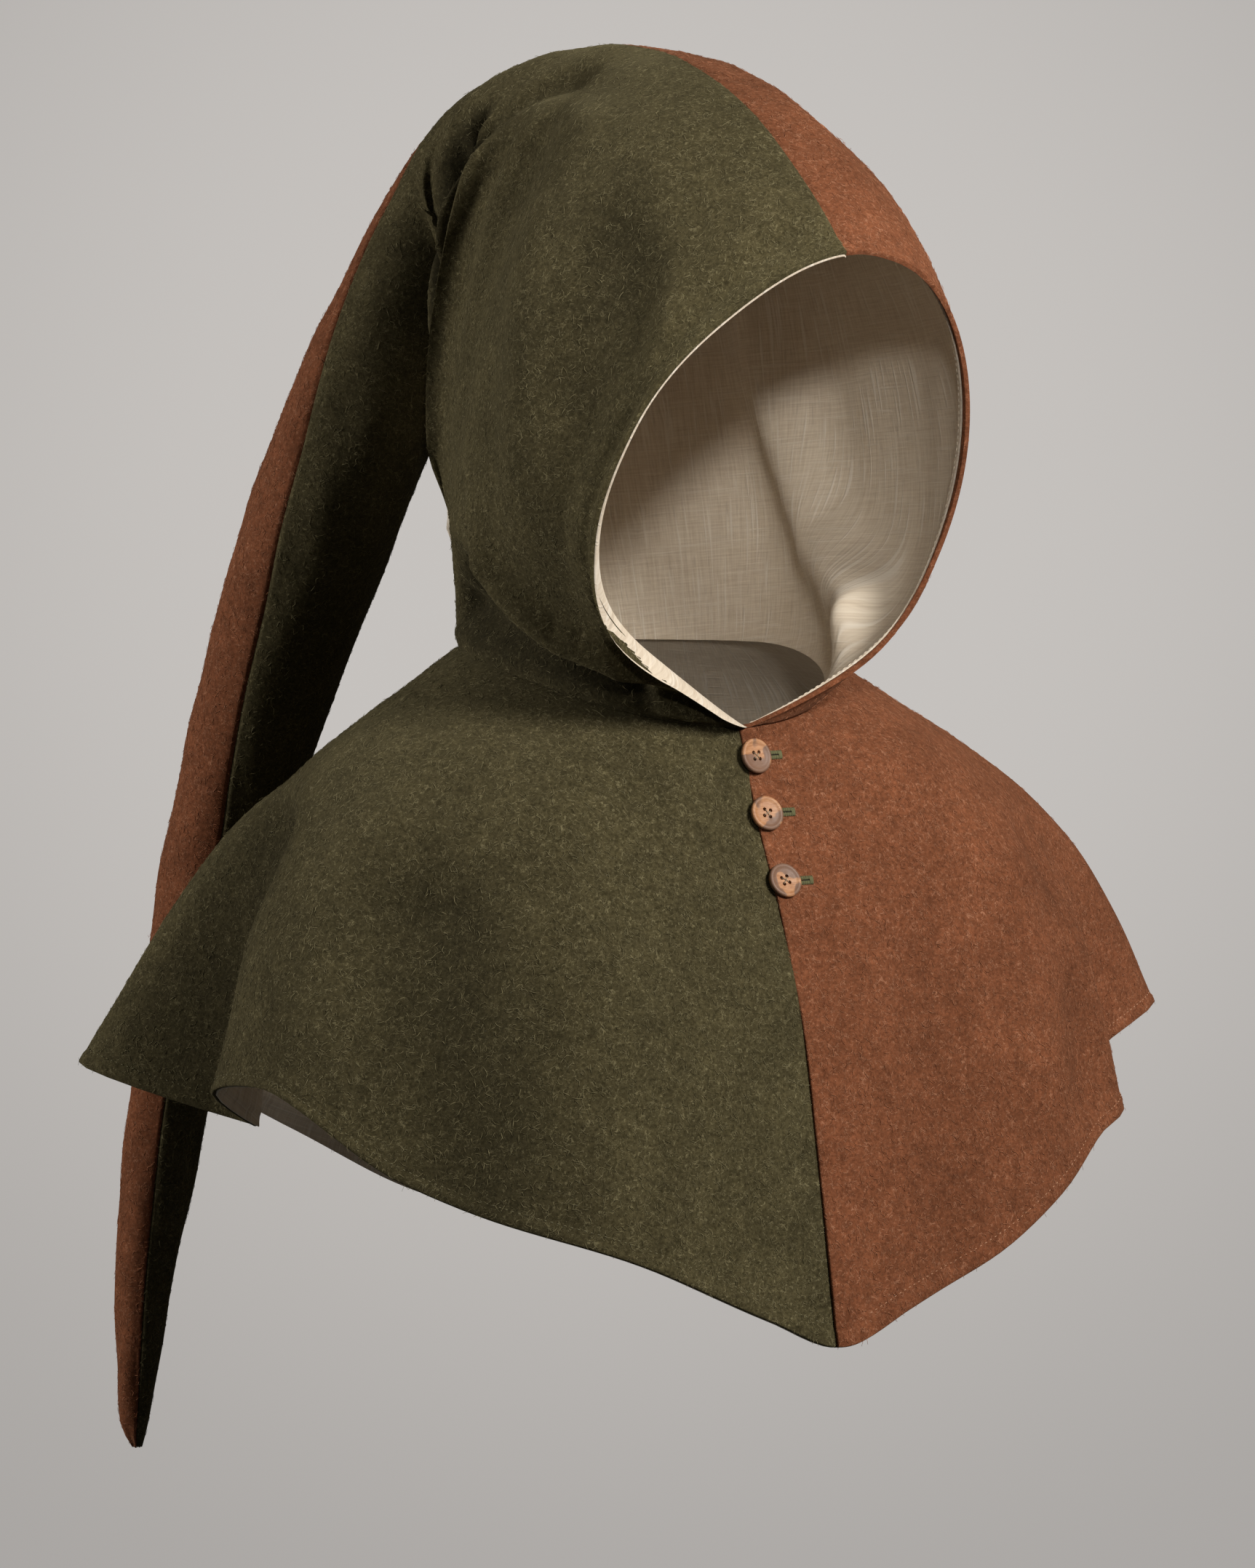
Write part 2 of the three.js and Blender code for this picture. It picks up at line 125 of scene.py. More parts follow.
# Folds of the hood: which side, how far each stands out or sinks in, how wide it is, and then
# the places, along and up, that it runs through.
HOOD_FOLDS = [
    [-1, -40, 15, 358, 0.715, 364, 0.65, 362, 0.6, 352, 0.56, 344, 0.52, 340, 0.45, 340, 0.36],
    [-1, 9, 9, 334, 0.75, 342, 0.7, 342, 0.65, 336, 0.61],
    [-1, -12, 5.5, 326, 0.705, 321, 0.66, 318, 0.62, 315, 0.58],
    [-1, 8, 14, 314, 0.71, 306, 0.66, 304, 0.6, 300, 0.54, 298, 0.46, 298, 0.36],
    [-1, -7, 30, 96, 0.68, 84, 0.57, 80, 0.47],
    [-1, -20, 18, 388, 0.68, 400, 0.6, 408, 0.5, 410, 0.42],
    [-1, 5, 14, 246, 0.66, 250, 0.58, 240, 0.48, 230, 0.38, 226, 0.28],
    [-1, 4, 16, 166, 0.735, 240, 0.7, 300, 0.745],
    [-1, -7, 13, 243, 0.8, 293, 0.758, 340, 0.73],
    [-1, -17, 9, 214, 0.06, 190, 0.047, 165, 0.045, 120, 0.057, 80, 0.062, 52, 0.064],
    [-1, -5, 7, 52, 0.064, 34, 0.072, 16, 0.082],
    [-1, 12, 9, 140, 0.17, 119, 0.155, 103, 0.138, 88, 0.122, 66, 0.12, 40, 0.13],
    [-1, 4, 6, 220, 0.02, 160, 0.026, 107, 0.034, 60, 0.036, 15, 0.04],
    [-1, -20, 12, 190, 0.1, 148, 0.13],
    [-1, 5, 12, 190, 0.155, 150, 0.185],
    [-1, 6, 26, 215, 0.2, 180, 0.2, 160, 0.19],
    [-1, -3, 18, 92, 0.64, 58, 0.61, 34, 0.57],
    [-1, 3, 14, 98, 0.735, 52, 0.67, 24, 0.6],
    [-1, 3, 20, 150, 0.6, 144, 0.52, 108, 0.475, 90, 0.4],
    [-1, -3.5, 20, 205, 0.6, 194, 0.48, 164, 0.415, 140, 0.33],
    [-1, -2.5, 8, 24, 0.88, 17, 0.765, 17, 0.675, 16, 0.585, 16, 0.49, 17, 0.36, 20, 0.26],
    [1, -24, 22, 262, 0.5, 250, 0.4, 238, 0.33, 222, 0.26, 205, 0.2, 180, 0.14, 140, 0.115, 85, 0.125],
    [1, 6, 20, 290, 0.42, 272, 0.33, 256, 0.25, 236, 0.17],
    [1, 3, 14, 188, 0.88, 114, 0.93, 64, 0.93],
    [-1, 7, 34, 0, 0.31, 60, 0.31],
    [1, 4, 34, 0, 0.26, 60, 0.26],
]

# How far the edge of the face opening turns outwards, by share of the way up it.
TURNED_RIGHT = [[0, 0.2], [0.04, 0.45], [0.1, 0.85], [0.2, 0.9], [0.3, 0.6], [0.4, 0.25], [0.5, 0.12]]
TURNED_LEFT = [[0, 0.1]]

# The cape by angle round the neck, as in the part's source: its radius and its height at the
# shoulder, at the arm and at the hem.
CAPE_COLUMNS = ["angle", "shoulderR", "shoulderZ", "armR", "armZ", "hemR", "hemZ"]
CAPE_ROWS = [
    [-180, 150, -30, 196, -160, 220, -322],
    [-155, 158, -20, 208, -128, 240, -272],
    [-130, 172, -15, 231, -103, 282, -215],
    [-112, 182, -14, 237, -93, 271, -196],
    [-96, 187, -18, 250, -89, 287, -184],
    [-80, 189, -22, 265, -86, 319, -181],
    [-69, 184, -28, 243, -107, 261, -208],
    [-60, 178, -32, 243, -121, 271, -225],
    [-52, 172, -35, 227, -132, 256, -235],
    [-42, 162, -40, 209, -144, 241, -258],
    [-30, 148, -48, 194, -154, 227, -282],
    [-12, 132, -54, 176, -152, 212, -306],
    [0, 127, -56, 171, -152, 209, -321],
    [12, 130, -54, 174, -150, 211, -303],
    [30, 146, -46, 190, -142, 225, -270],
    [60, 174, -30, 226, -127, 254, -226],
    [80, 186, -21, 241, -106, 265, -185],
    [92, 189, -19, 239, -97, 267, -194],
    [105, 186, -22, 219, -90, 233, -224],
    [119, 181, -23, 244, -81, 319, -199],
    [132, 174, -23, 229, -87, 291, -210],
    [150, 160, -24, 209, -114, 244, -259],
    [166, 153, -26, 202, -142, 225, -298],
    [180, 150, -30, 196, -160, 220, -322],
]

# Folds of the cape: the places that each runs through are angle and share of the way down.
CAPE_FOLDS = [
    [-1, 5, 24, 75, 0.45, 79.5, 0.6, 77, 0.8, 74, 1.0],
    [-1, -10, 30, 63, 0.56, 58, 0.7, 54, 0.84, 52, 1.0],
    [-1, 7, 34, 44, 0.42, 39, 0.6, 36, 0.8, 34, 1.0],
    [-1, -11, 24, 99, 0.52, 99, 0.75, 100, 1.0],
    [-1, -5, 20, 107, 0.52, 109, 0.72, 111, 0.9],
    [1, 5, 24, 50, 0.5, 45, 0.7, 42, 0.94],
    [1, -5, 26, 26, 0.6, 22, 0.8, 20, 1.0],
    [1, -5, 16, 62, 0.5, 56, 0.72, 52, 0.9],
]

# Half of a button's outline from the middle of its face to the middle of its back, as radius
# and height, and then its steps round, its holes' radius and place, and each button's turn.
BUTTON_OUTLINE = [(0, 0.75), (5.8, 0.75), (6.9, 0.9), (7.6, 1.35), (8.3, 1.6), (9.0, 1.45), (9.5, 1.0)]
BUTTON_OUTLINE += [(9.6, 0.3), (9.55, -0.6), (9.1, -1.35), (8.2, -1.7), (0, -1.7)]
BUTTON_STEPS = 56
HOLE_RADIUS = 1.05
HOLE_PLACE = 1.8
BUTTON_TURNS = (0, -14, 12)


def middle_slope(before, after):
    """The slope where two stretches of a curve meet, flat at a turning point and never too steep."""
    middle = (before + after) / 2
    limit = 2.6 * np.minimum(abs(before), abs(after))
    return np.where(before * after <= 0, 0, np.sign(middle) * np.minimum(abs(middle), limit))


def between(low, high, slope_low, slope_high, span, t):
    """A point of the curve between two values, at share t of the way."""
    h = t * t * (3 - 2 * t)
    bend = span * (slope_low * t * (1 - t) ** 2 + slope_high * t * t * (t - 1))
    return low * (1 - h) + high * h + bend


def spline(rows, column, at):
    """A smooth curve through one column, which never swings past its values."""
    table = np.array(rows, float)
    x, y = table[:, 0], table[:, column]
    rise = np.diff(y) / np.diff(x)
    slope = np.concatenate([rise[:1], middle_slope(rise[:-1], rise[1:]), rise[-1:]])
    k = np.clip(np.searchsorted(x, at, side="left") - 1, 0, len(x) - 2)
    span = x[k + 1] - x[k]
    t = np.clip((at - x[k]) / span, 0, 1)
    return between(y[k], y[k + 1], slope[k], slope[k + 1], span, t)


def unit(v):
    return v / np.maximum(np.linalg.norm(v, axis=-1, keepdims=True), 1e-9)


def smooth(x):
    x = np.clip(x, 0, 1)
    return x * x * (3 - 2 * x)


def neck_height(angle):
    rise = smooth(abs(angle) / NECK_RISE_ANGLE)
    return NECK_FRONT_HEIGHT + (NECK_BACK_HEIGHT - NECK_FRONT_HEIGHT) * rise


def hood_base(side, at, up):
    """Points of one half of the hood, before its folds."""
    at, up = np.broadcast_arrays(np.asarray(at, float), np.asarray(up, float))
    r = {name: spline(HOOD_ROWS, i, at) for i, name in enumerate(HOOD_COLUMNS) if i}
    angle = np.clip(r["angle"], 0, 180)
    turn = np.radians(angle)
    neck = NECK_RADIUS * np.sin(turn)
    seam_y = r["by"] + NECK_BACK - NECK_RADIUS * np.cos(turn)
    low = np.stack([r["bx"], seam_y, r["bz"] + neck_height(angle)], -1)
    high = np.stack([r["tx"], r["ty"], r["tz"]], -1)
    rise = unit(high - low)
    face = np.radians(r["turn"])
    left = np.stack([np.cos(face), np.sin(face), np.zeros_like(face)], -1)
    left = unit(left - rise * (left * rise).sum(-1, keepdims=True))
    bulge = r["right"] if side < 0 else r["left"]
    lowest = r["lowR"] if side < 0 else r["lowL"]
    highest = r["highR"] if side < 0 else r["highL"]
    start = np.arcsin(np.clip(neck / bulge, 0, 0.98) ** (1 / lowest))
    angle = start + (math.pi - start) * up
    share = (np.cos(start) - np.cos(angle)) / (np.cos(start) + 1)
    power = lowest + (highest - lowest) * share
    out = bulge * np.maximum(0, np.sin(angle)) ** power
    return low + (high - low) * share[..., None] + left * (side * out)[..., None]


def cape_base(side, angle, down):
    """Points of one half of the cape, before its folds. angle is from 0 to 180 on each side."""
    angle, down = np.broadcast_arrays(np.asarray(angle, float), np.asarray(down, float))
    signed = -side * angle
    r = {name: spline(CAPE_ROWS, i, signed) for i, name in enumerate(CAPE_COLUMNS) if i}
    zeros = np.zeros_like(signed)
    radii = [zeros + NECK_RADIUS - 1.5, r["shoulderR"], r["armR"], r["hemR"]]
    heights = [neck_height(signed) + 2, r["shoulderZ"], r["armZ"], r["hemZ"]]
    radius = profile(radii, down)
    x = -radius * np.sin(np.radians(signed))
    y = NECK_BACK - radius * np.cos(np.radians(signed))
    return np.stack([x, y, profile(heights, down)], -1)


def profile(values, down):
    """The spline through four values at 0, 0.33, 0.66 and 1, for arrays of values."""
    x = [0, 0.33, 0.66, 1]
    rise = [(values[i + 1] - values[i]) / (x[i + 1] - x[i]) for i in range(3)]
    slope = [rise[0], middle_slope(rise[0], rise[1]), middle_slope(rise[1], rise[2]), rise[2]]
    out = np.zeros_like(down)
    for k in range(3):
        span = x[k + 1] - x[k]
        t = np.clip((down - x[k]) / span, 0, 1)
        out = np.where(down >= x[k], between(*values[k:k + 2], *slope[k:k + 2], span, t), out)
    return out


def normals(points, side):
    """Outward normals of a grid of points, by differences along its two directions."""
    along = np.gradient(points, axis=0)
    across = np.gradient(points, axis=1)
    return unit(np.cross(along, across)) * side


def fold_push(folds, side, a, b, unit_a, unit_b):
    """How far the folds push the cloth out at each place of a grid."""
    push = np.zeros(np.broadcast(a, b).shape)
    for fold_side, height, wide, *path in folds:
        if fold_side != side:
            continue
        places = np.array(path, float).reshape(-1, 2) * [unit_a, unit_b]
        nearest = np.full(push.shape, 1e9)
        for (x0, y0), (x1, y1) in zip(places[:-1], places[1:]):
            dx, dy = x1 - x0, y1 - y0
            t = np.clip(((a * unit_a - x0) * dx + (b * unit_b - y0) * dy) / (dx * dx + dy * dy), 0, 1)
            nearest = np.minimum(nearest, np.hypot(a * unit_a - x0 - dx * t, b * unit_b - y0 - dy * t))
        push = push + height * np.exp(-((nearest / wide) ** 2))
    return push


def painted_shade_amount(folds, side, a, b, unit_a, unit_b):
    """How much painted shade each place takes, from 0 to 1, by its depth in a fold and its nearness to the
    neck seam.
    """
    hollows = [[half, push, wide * SHADE_WIDER, *path] for half, push, wide, *path in folds if push < 0]
    depth = -fold_push(hollows, side, a, b, unit_a, unit_b)
    dark = np.clip((depth - SHADE_FROM) / SHADE_OVER, 0, 1)
    # The neck seam's share is painted shade, where the collar and the cape's top lie under the hood's
    # overhang.
    return np.clip(dark + SEAM_SHADE * np.exp(-((b * unit_b / SEAM_SHADE_REACH) ** 2)), 0, 1)


def ripple(a, b, seed, size):
    """Slow, soft unevenness of cloth, from a few sine waves."""
    rng = np.random.default_rng(seed)
    out = np.zeros(np.broadcast(a, b).shape)
    for _ in range(9):
        way, phase, wave = rng.uniform(0, 2 * math.pi), rng.uniform(0, 6.3), size * rng.uniform(0.6, 1.8)
        out = out + np.sin((a * math.cos(way) + b * math.sin(way)) * 6.283 / wave + phase)
    return out / 4


def hood_grid(side, at, up):
    """The hood's outer cloth: its points, its normals without the folds and with them."""
    a, b = np.meshgrid(at, up, indexing="ij")
    base = hood_base(side, a, b)
    n = normals(base, side)
    fade = np.minimum(1, np.minimum(b * 40, (1 - b) * 12))
    push = fold_push(HOOD_FOLDS, side, a, b, 1, HOOD_HEIGHT) * fade
    push = push + 0.7 * ripple(a, b * HOOD_HEIGHT, 3 + side, 70) * smooth(b * 14) * smooth((1 - b) * 14)
    # The cloth dips along the upper seam, along the lower seam and at the edge's stitching.
    push = push - 1.3 * np.exp(-(((1 - b) * HOOD_HEIGHT / 3) ** 2))
    push = push - 0.6 * np.exp(-((b * HOOD_HEIGHT / 3.2) ** 2))
    push = push - 0.5 * np.exp(-(((a - 13) / 4.0) ** 2))
    points = base + n * push[..., None]
    return points, n, normals(points, side)


def evened(v):
    """A row of vectors, each averaged with its neighbours."""
    padded = np.pad(v, ((5, 5), (0, 0)), mode="edge")
    return sum(padded[k:k + len(v)] for k in range(11)) / 11


def turned_edge(points, n, ahead, up, turned):
    """Add rows in front of a grid, where the edge of the cloth curls outwards near the chin."""
    amount = np.interp(up, *np.array(turned, float).T)
    ahead = unit(evened(ahead))
    beside = unit(evened(n[0]))
    step = (EDGE_TURNED * amount + EDGE_PLAIN * (1 - amount)) / EDGE_ROWS
    place, angle = points[0], np.zeros_like(amount)
    rows, frames = [points], [n]
    for _ in range(EDGE_ROWS):
        angle = np.minimum(EDGE_MOST * amount, angle + step / EDGE_RADIUS)
        way = ahead * np.cos(angle)[:, None] + beside * np.sin(angle)[:, None]
        place = place + way * step[:, None]
        rows.insert(0, place[None])
        frames.insert(0, (beside * np.cos(angle)[:, None] - ahead * np.sin(angle)[:, None])[None])
    return np.concatenate(rows), np.concatenate(frames)


def cape_grid(side, angle, down):
    """The cape's outer cloth: its points, its normals without the folds and with them."""
    a, b = np.meshgrid(angle, down, indexing="ij")
    base = cape_base(side, a, b)
    n = normals(base, -side)
    n = n * np.sign((n * (base - np.array([0, NECK_BACK, -150]))).sum(-1).mean())
    push = fold_push(CAPE_FOLDS, side, a, b, CAPE_DEGREE, CAPE_LENGTH) * smooth(b * 4)
    push = push + 0.9 * ripple(a * 3.4, b * CAPE_LENGTH, 11 + side, 90) * smooth(b * 5)
    front = a * math.pi / 180 * 170
    back = (180 - a) * math.pi / 180 * 170
    hem = (1 - b) * CAPE_LENGTH
    lap = 1.0 if side > 0 else -0.5
    # The left front laps over the right one, and the cloth dips along the back's seam and along
    # the neck's, and bulges and dips at the hem's stitching.
    push = push + lap * np.exp(-((front / 9.0) ** 4)) - 1.3 * np.exp(-((back / 3.0) ** 2))
    push = push - 1.7 * np.exp(-((b * CAPE_LENGTH / 4) ** 2))
    push = push + 0.5 * np.exp(-(((hem - 4) / 3.0) ** 2)) - 0.5 * np.exp(-(((hem - 8.5) / 1.5) ** 2))
    points = base + n * push[..., None]
    final = normals(points, -side)
    return points, n, final * np.sign((final * n).sum(-1).mean())


def mesh_object(name, coords, faces, material):
    mesh = bpy.data.meshes.new(name)
    mesh.from_pydata((np.asarray(coords) * 0.001).tolist(), [], [list(f) for f in faces])
    mesh.shade_smooth()
    for m in material if isinstance(material, list) else [material]:
        mesh.materials.append(m)
    obj = bpy.data.objects.new(name, mesh)
    bpy.context.scene.collection.objects.link(obj)
    return obj


def shell(name, points, n, outer, inner, material, threads=None, painted_shade=None):
    """A closed wall of cloth between two offsets of a grid, with soft rims."""
    rows, cols = points.shape[:2]
    outer = np.broadcast_to(np.asarray(outer, float), (rows, cols))[..., None]
    inner = np.broadcast_to(np.asarray(inner, float), (rows, cols))[..., None]
    coords = np.concatenate([(points - n * outer).reshape(-1, 3), (points - n * inner).reshape(-1, 3)])
    k = (np.arange(rows - 1)[:, None] * cols + np.arange(cols - 1)).ravel()
    s = rows * cols
    i = np.arange(rows - 1) * cols
    e = i + cols - 1
    j = np.arange(cols - 1)
    w = j + (rows - 1) * cols
    quads = [
        (k, k + cols, k + cols + 1, k + 1),
        (s + k, s + k + 1, s + k + cols + 1, s + k + cols),
        (i, s + i, s + i + cols, i + cols),
        (e, e + cols, s + e + cols, s + e),
        (j, j + 1, s + j + 1, s + j),
        (w, s + w, s + w + 1, w + 1),
    ]
    faces = np.concatenate([np.stack(quad, -1) for quad in quads])
    p = coords[faces]
    volume = (np.cross(p[:, 0], p[:, 1]) * p[:, 2]).sum() + (np.cross(p[:, 0], p[:, 2]) * p[:, 3]).sum()
    if volume < 0:
        faces = faces[:, ::-1]
    obj = mesh_object(name, coords, faces.tolist(), material)
    if threads is not None:
        layer = obj.data.attributes.new("threads", "FLOAT_VECTOR", "POINT")
        both = np.concatenate([threads, threads]).reshape(-1, 3) * 0.001
        layer.data.foreach_set("vector", both.ravel())
    # The painted shade that the wool's colour takes at each point.
    if painted_shade is not None:
        layer = obj.data.attributes.new("painted_shade", "FLOAT", "POINT")
        layer.data.foreach_set("value", np.concatenate([painted_shade, painted_shade]).ravel())
    edge = obj.modifiers.new("soft rim", "BEVEL")
    edge.width = 0.0008
    edge.segments = 2
    edge.limit_method = "ANGLE"
    edge.angle_limit = math.radians(55)
    return obj


def rods(name, lines, ups, radii, sides, material):
    """Closed round rods along many short lines at once, for fibres and stitches."""
    lines = np.asarray(lines, float)
    count, rings = lines.shape[:2]
    along = unit(np.gradient(lines, axis=1))
    beside = unit(np.cross(np.asarray(ups)[:, None, :], along))
    over = np.cross(along, beside)
    turns = np.arange(sides) * 2 * math.pi / sides
    ring = beside[:, :, None] * np.cos(turns)[:, None] + over[:, :, None] * np.sin(turns)[:, None]
    coords = lines[:, :, None] + ring * np.asarray(radii)[:, None, None]
    pattern = []
    for r in range(rings - 1):
        for k in range(sides):
            a, b = r * sides + k, r * sides + (k + 1) % sides
            pattern.append([a, b, b + sides])
            pattern.append([a, b + sides, a + sides])
    for k in range(1, sides - 1):
        pattern.append([0, k + 1, k])
        pattern.append([(rings - 1) * sides + m for m in (0, k, k + 1)])
    faces = (np.arange(count)[:, None, None] * rings * sides + np.array(pattern)).reshape(-1, 3)
    return mesh_object(name, coords.reshape(-1, 3), faces.tolist(), material), len(pattern)


def strands(name, points, n, count, seed, material):
    """Short curled fibres that stand a little out of the cloth."""
    rng = np.random.default_rng(seed)
    d1 = points[1:, :-1] - points[:-1, :-1]
    d2 = points[:-1, 1:] - points[:-1, :-1]
    area = np.linalg.norm(np.cross(d1, d2), axis=-1).ravel()
    i, j = np.divmod(rng.choice(len(area), count, p=area / area.sum()), points.shape[1] - 1)
    u, v = rng.random((2, count, 1))
    base = points[i, j] + d1[i, j] * u + d2[i, j] * v
    out = n[i, j]
    way = unit(d1[i, j])
    turn = rng.uniform(0, 2 * math.pi, (count, 1))
    ahead = way * np.cos(turn) + np.cross(out, way) * np.sin(turn)
    beside = np.cross(out, ahead)
    size = rng.uniform(1.8, 5.5, (count, 1))
    curl = rng.normal(0, 0.5, (count, 1))
    raised = rng.gamma(1.5, 0.14, (count, 1))
    lines = []
    for t, high in ((0.0, 0.0), (0.5, 0.75), (1.0, 1.0)):
        centre = base + ahead * size * (t - 0.5) + beside * size * curl * (t - 0.5) ** 2 * 2
        lines.append(centre + out * (0.1 + raised * high))
    obj, each = rods(name, np.stack(lines, 1), out, STRAND_RADII, STRAND_SIDES, material)
    which = np.repeat(rng.integers(0, len(material), count), each)
    obj.data.polygons.foreach_set("material_index", which.astype(np.int32))
    return obj


def stitch_row(name, path, out, every, long, radius, material, slot):
    """A running stitch along a path of surface points with outward normals."""
    steps = np.linalg.norm(np.diff(path, axis=0), axis=1)
    run = np.concatenate([[0], np.cumsum(steps)])
    starts = np.arange(every, run[-1] - every, every)

    def at(distance):
        place = np.stack([np.interp(distance, run, path[:, k]) for k in range(3)], -1)
        up = unit(np.stack([np.interp(distance, run, out[:, k]) for k in range(3)], -1))
        return place, up

    lines = []
    for t, high in ((0, -0.6), (0.2, 0.55), (0.5, 0.8), (0.8, 0.55), (1, -0.6)):
        place, up = at(starts + t * long)
        lines.append(place + up * radius * high)
    ups = at(starts + long / 2)[1]
    radii = [radius * 0.7, radius, radius, radius, radius * 0.7]
    return rods(name, np.stack(lines, 1), ups, radii, THREAD_SIDES, material)[0]


def frame_at(grid, target):
    """The place, normal and sideways directions of a cloth grid nearest to a point."""
    points, _, out = grid
    k = np.unravel_index(((points - target) ** 2).sum(-1).argmin(), points.shape[:2])
    n = unit(out[k])
    sideways = unit(np.cross(np.array([0, 0, 1.0]), n))
    sideways = sideways * np.sign(sideways[0])
    return points[k], n, sideways, np.cross(n, sideways)


def turned_ways(sideways, upwards, turn):
    """The two directions of a button's face, turned by some degrees."""
    c, s = math.cos(math.radians(turn)), math.sin(math.radians(turn))
    return sideways * c + upwards * s, upwards * c - sideways * s


def button(name, centre, n, sideways, upwards, turn, material):
    """A turned button: a raised rounded rim round a shallow dish with four holes."""
    coords, faces = [(0, 0, BUTTON_OUTLINE[0][1]), (0, 0, BUTTON_OUTLINE[-1][1])], []
    rings = BUTTON_OUTLINE[1:-1]
    angles = [k * 2 * math.pi / BUTTON_STEPS for k in range(BUTTON_STEPS)]
    for r, z in rings:
        coords += [(r * math.cos(angle), r * math.sin(angle), z) for angle in angles]
    last = 2 + (len(rings) - 1) * BUTTON_STEPS
    for a in range(BUTTON_STEPS):
        b = (a + 1) % BUTTON_STEPS
        faces.append([0, 2 + a, 2 + b])
        faces.append([1, last + b, last + a])
        for low in range(2, last, BUTTON_STEPS):
            high = low + BUTTON_STEPS
            faces.append([low + a, high + a, high + b, low + b])
    obj = mesh_object(name, coords, faces, material)
    cuts = []
    for x, y in ((1, 1), (1, -1), (-1, -1), (-1, 1)):
        place = (x * HOLE_PLACE * 0.001, y * HOLE_PLACE * 0.001, 0)
        radius = HOLE_RADIUS * 0.001
        bpy.ops.mesh.primitive_cylinder_add(vertices=20, radius=radius, depth=0.01, location=place)
        cuts.append(bpy.context.object)
    for cut in cuts:
        hole = obj.modifiers.new("hole", "BOOLEAN")
        hole.object = cut
        hole.solver = "EXACT"
    soften = obj.modifiers.new("hole rims", "BEVEL")
    soften.width = 0.00022
    soften.segments = 2
    soften.limit_method = "ANGLE"
    soften.angle_limit = math.radians(50)
    bpy.context.view_layer.update()
    made = bpy.data.meshes.new_from_object(obj.evaluated_get(bpy.context.evaluated_depsgraph_get()))
    obj.modifiers.clear()
    obj.data = made
    for cut in cuts:
        bpy.data.objects.remove(cut)
    x_way, y_way = turned_ways(sideways, upwards, turn)
    spin = Matrix([[*row] for row in np.stack([x_way, y_way, n], 1)]).to_4x4()
    made.transform(Matrix.Translation(Vector(centre * 0.001)) @ spin)
    made.shade_smooth()
    return obj


def cross_threads(name, centre, n, sideways, upwards, turn, material):
    """Two threads that cross over a button between its holes."""
    x_way, y_way = turned_ways(sideways, upwards, turn)
    lines = []
    for x, y, lift in ((1, 1, 0.25), (1, -1, 0.55), (1.25, 0.9, 0.25), (0.9, -1.25, 0.55)):
        way = (x_way * x + y_way * y) * 1.75
        places = ((-1, -0.8), (-0.72, 0.9), (0, 1.0 + lift), (0.72, 0.9), (1, -0.8))
        lines.append([centre + n * h + way * t for t, h in places])
    ups = np.tile(n, (len(lines), 1))
    radii = [0.12, 0.15, 0.16, 0.15, 0.12]
    return rods(name, lines, ups, radii, THREAD_SIDES, material)[0]


def worked_hole(name, grid, centre, materials):
    """A buttonhole edged in close stitches, with a bar of thread at its outer end and a near-black rod down
    its slit as painted shade.
    """
    place, n, sideways, upwards = frame_at(grid, centre)
    middle = centre + n * ((place - centre) @ n)
    lines, kinds = [], []

    def add(points, kind):
        lines.append([middle + sideways * x + upwards * y + n * z for x, y, z in points])
        kinds.append(kind)

    for k in range(13):
        x = -3.4 + k * 0.5
        for way in (-1, 1):
            jitter = 0.12 * math.sin(k * 2.3 + way)
            ends = ((0.35, 0.05), (0.5, 0.5), (1.3, 0.55), (2.2 + jitter, 0.3), (2.4 + jitter, -0.2))
            add([(x + jitter * 0.5, way * y, z) for y, z in ends], 0)
    for k in range(5):
        x = 2.6 + k * 0.42
        ends = ((-2.5, -0.2), (-1.8, 0.6), (0, 0.85), (1.8, 0.6), (2.5, -0.2))
        add([(x, y + 0.1 * math.sin(k * 1.9), z) for y, z in ends], 0)
    # A near-black rod along the slit: painted shade of the buttonhole's opening.
    add([(-3.6, 0, 0.12), (-2, 0, 0.14), (0, 0, 0.14), (1.6, 0, 0.14), (2.6, 0, 0.12)], 1)
    ups = np.tile(n, (len(lines), 1))
    radii = [0.22, 0.27, 0.29, 0.27, 0.22]
    obj, each = rods(name, lines, ups, radii, THREAD_SIDES, materials)
    obj.data.polygons.foreach_set("material_index", np.repeat(np.array(kinds, np.int32), each))
    return obj


